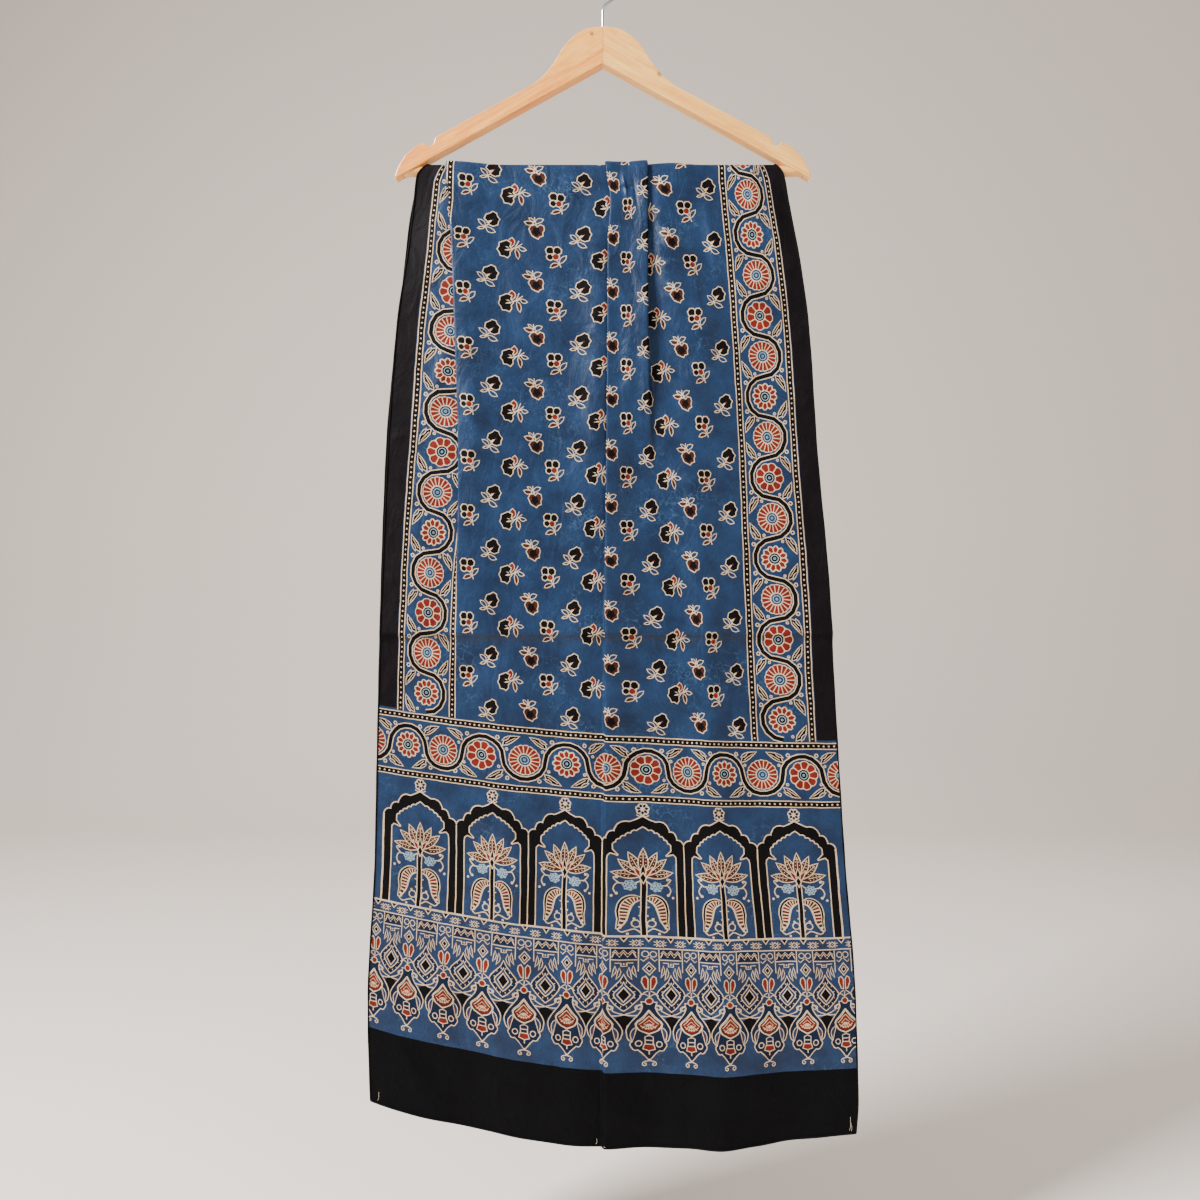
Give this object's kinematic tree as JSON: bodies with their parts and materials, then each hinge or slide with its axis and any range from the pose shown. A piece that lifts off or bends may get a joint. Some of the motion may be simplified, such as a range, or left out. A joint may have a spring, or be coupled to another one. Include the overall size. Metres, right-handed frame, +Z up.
{
  "type": "ajrakh cloth on a wooden hanger",
  "caption": "Long block-printed ajrakh cloth folded over the round bar of a flat wooden hanger with a wire hook.",
  "frame": {"origin": "inside of the hook's crook, where a rail carries it", "axes": "+X to the right across the hanger, +Y away from the front drop, +Z up; everything hangs below the origin"},
  "size_m": [0.5217, 0.0343, 1.2647],
  "materials": {
    "cloth": "silky block-printed indigo",
    "hanger_wood": "clear satin varnish",
    "bar_wood": "satin",
    "hook_steel": "polished"
  },
  "bodies": {
    "root": {"cloth": "cloth", "hanger_arm_left": "hanger_wood", "hanger_arm_right": "hanger_wood", "trouser_bar": "bar_wood", "hook": "hook_steel"}
  },
  "joints": []
}
